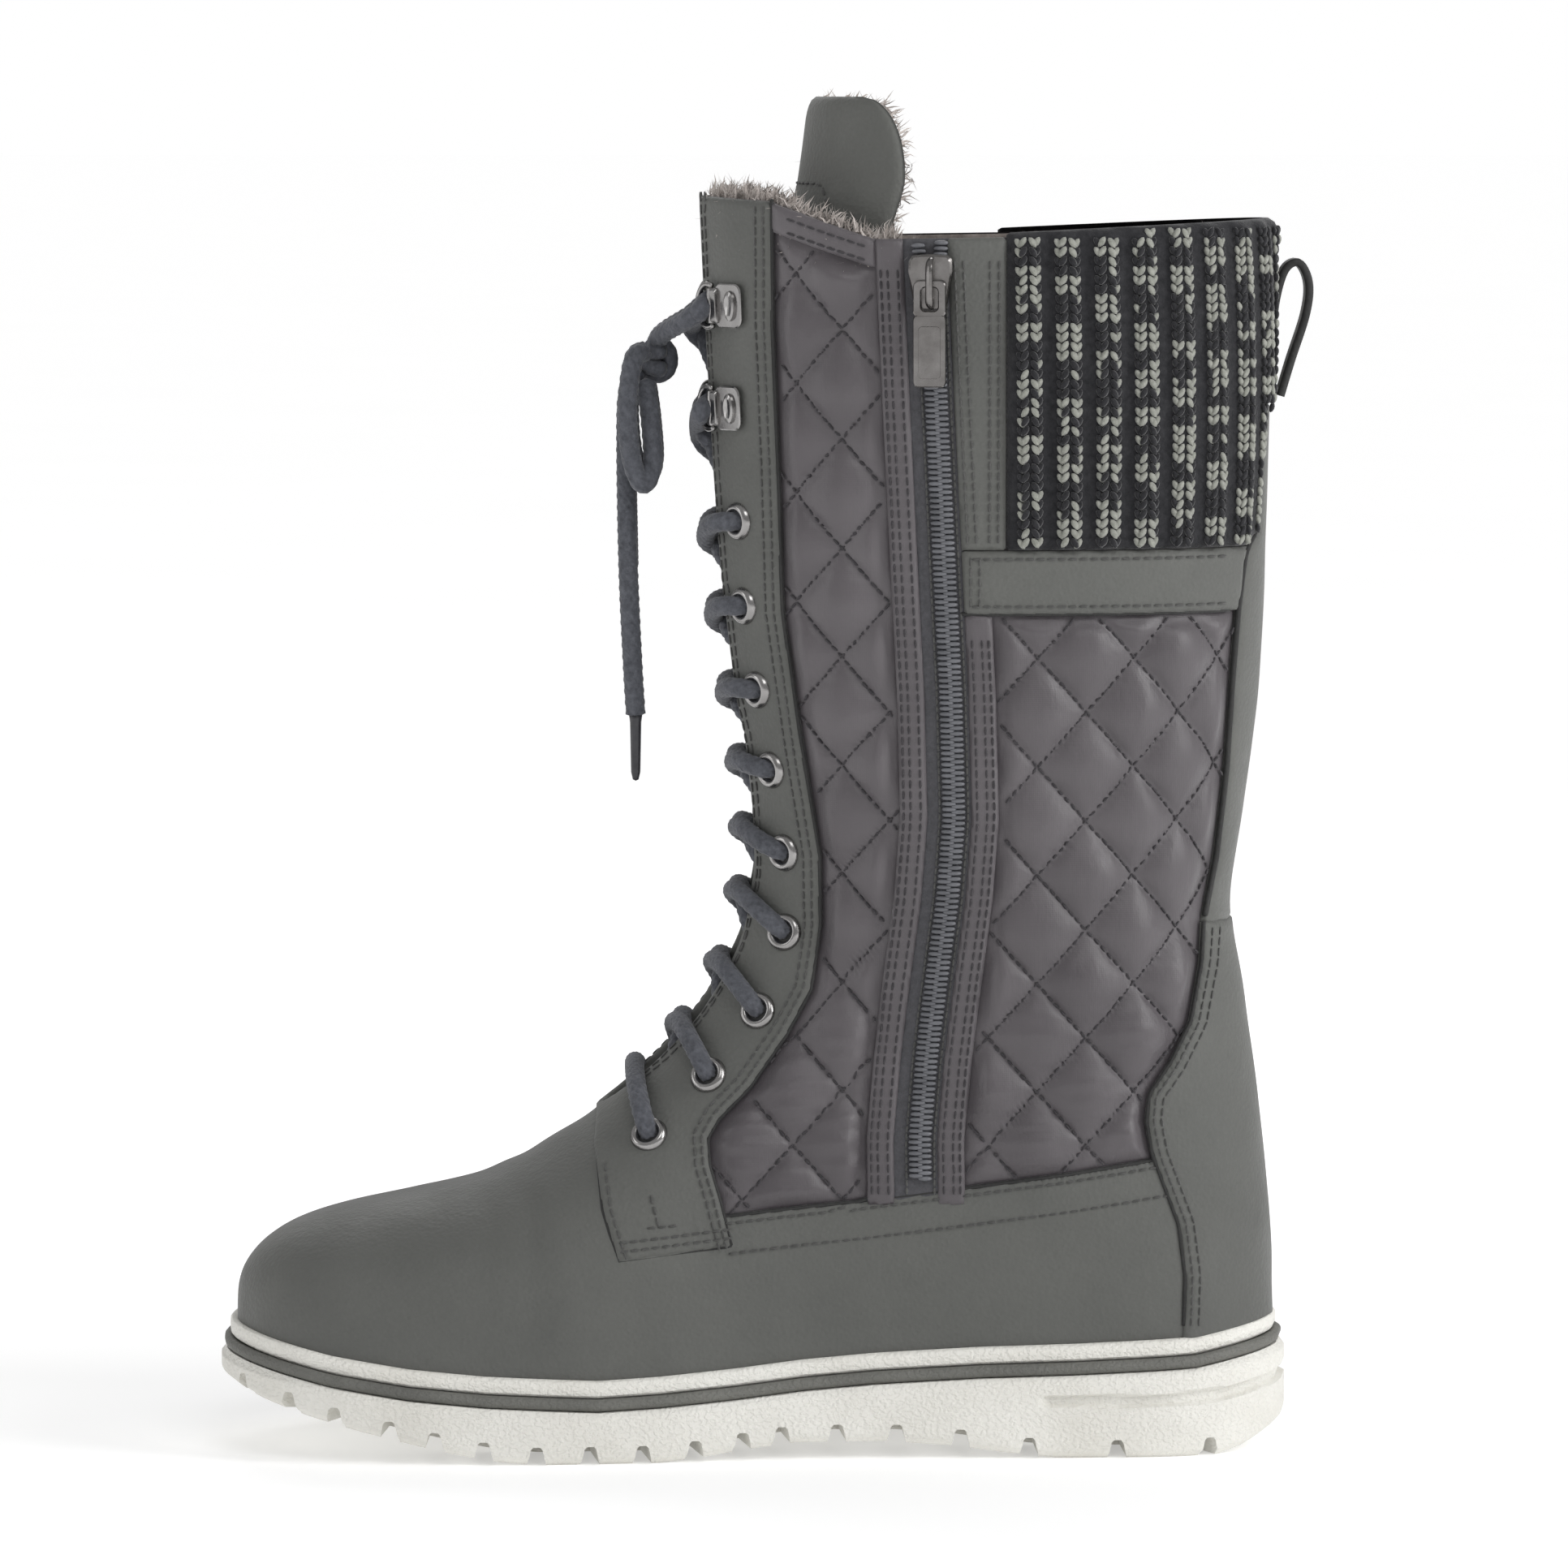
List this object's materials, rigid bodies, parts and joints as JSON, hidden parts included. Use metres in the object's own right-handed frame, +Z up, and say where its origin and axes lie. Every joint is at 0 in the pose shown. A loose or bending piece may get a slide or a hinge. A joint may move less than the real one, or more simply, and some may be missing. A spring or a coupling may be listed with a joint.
{
  "type": "snow boot",
  "caption": "Tall lace-up winter boot for the right foot with leather vamp, quilted shaft, rib-knit cuff, inner side zip and lugged unit sole.",
  "frame": {"origin": "on the floor under the middle of the boot", "axes": "+X to the toe, +Y to the inner side with the zip, +Z up"},
  "size_m": [0.2858, 0.1111, 0.3561],
  "materials": {
    "sole": "matt off-white with fine grain",
    "stripe": "matt grey",
    "leather": "matt grey, fine grain",
    "quilt": "satin nylon, diamond quilted",
    "lining": "short grey pile",
    "knit": "dark and pale rib knit",
    "tape": "woven tape",
    "zip": "dark coil",
    "metal": "gunmetal",
    "lace": "round braid",
    "aglet": "dark plastic"
  },
  "bodies": {
    "boot": {"outsole": "sole", "sole_stripe": "stripe", "insole": "lining", "upper": "leather", "tongue": "leather", "counter": "leather", "back_strip": "leather", "pull_loop": "leather", "knit_cuff": "knit", "zip_facing_front": "leather", "zip_facing_back": "leather", "zip_tape": "tape", "zip_chain": "zip", "zip_slider": "metal", "lace_crossings": "lace", "lace_knot": "lace", "eyestay_medial": "leather", "cuff_strap_medial": "leather", "cuff_strip_medial": "leather", "eyelet_medial_1": "metal", "eyelet_medial_2": "metal", "eyelet_medial_3": "metal", "eyelet_medial_4": "metal", "eyelet_medial_5": "metal", "eyelet_medial_6": "metal", "eyelet_medial_7": "metal", "eyelet_medial_8": "metal", "eyelet_medial_9": "metal", "ring_plate_medial_1": "metal", "lace_ring_medial_1": "metal", "ring_plate_medial_2": "metal", "lace_ring_medial_2": "metal", "lace_loop_medial": "lace", "lace_end_medial": "lace", "aglet_medial": "aglet", "eyestay_lateral": "leather", "cuff_strap_lateral": "leather", "cuff_strip_lateral": "leather", "eyelet_lateral_1": "metal", "eyelet_lateral_2": "metal", "eyelet_lateral_3": "metal", "eyelet_lateral_4": "metal", "eyelet_lateral_5": "metal", "eyelet_lateral_6": "metal", "eyelet_lateral_7": "metal", "eyelet_lateral_8": "metal", "eyelet_lateral_9": "metal", "ring_plate_lateral_1": "metal", "lace_ring_lateral_1": "metal", "ring_plate_lateral_2": "metal", "lace_ring_lateral_2": "metal", "lace_loop_lateral": "lace", "lace_end_lateral": "lace", "aglet_lateral": "aglet"},
    "pull_tab": {"zip_pull": "metal"}
  },
  "joints": [
    {"name": "pull_tab_hinge", "type": "hinge", "parent": "boot", "child": "pull_tab", "pos_m": [-0.04201, 0.05217, 0.30482], "axis": [0.997, -0.0778, 0], "range_deg": [0, 160]}
  ]
}
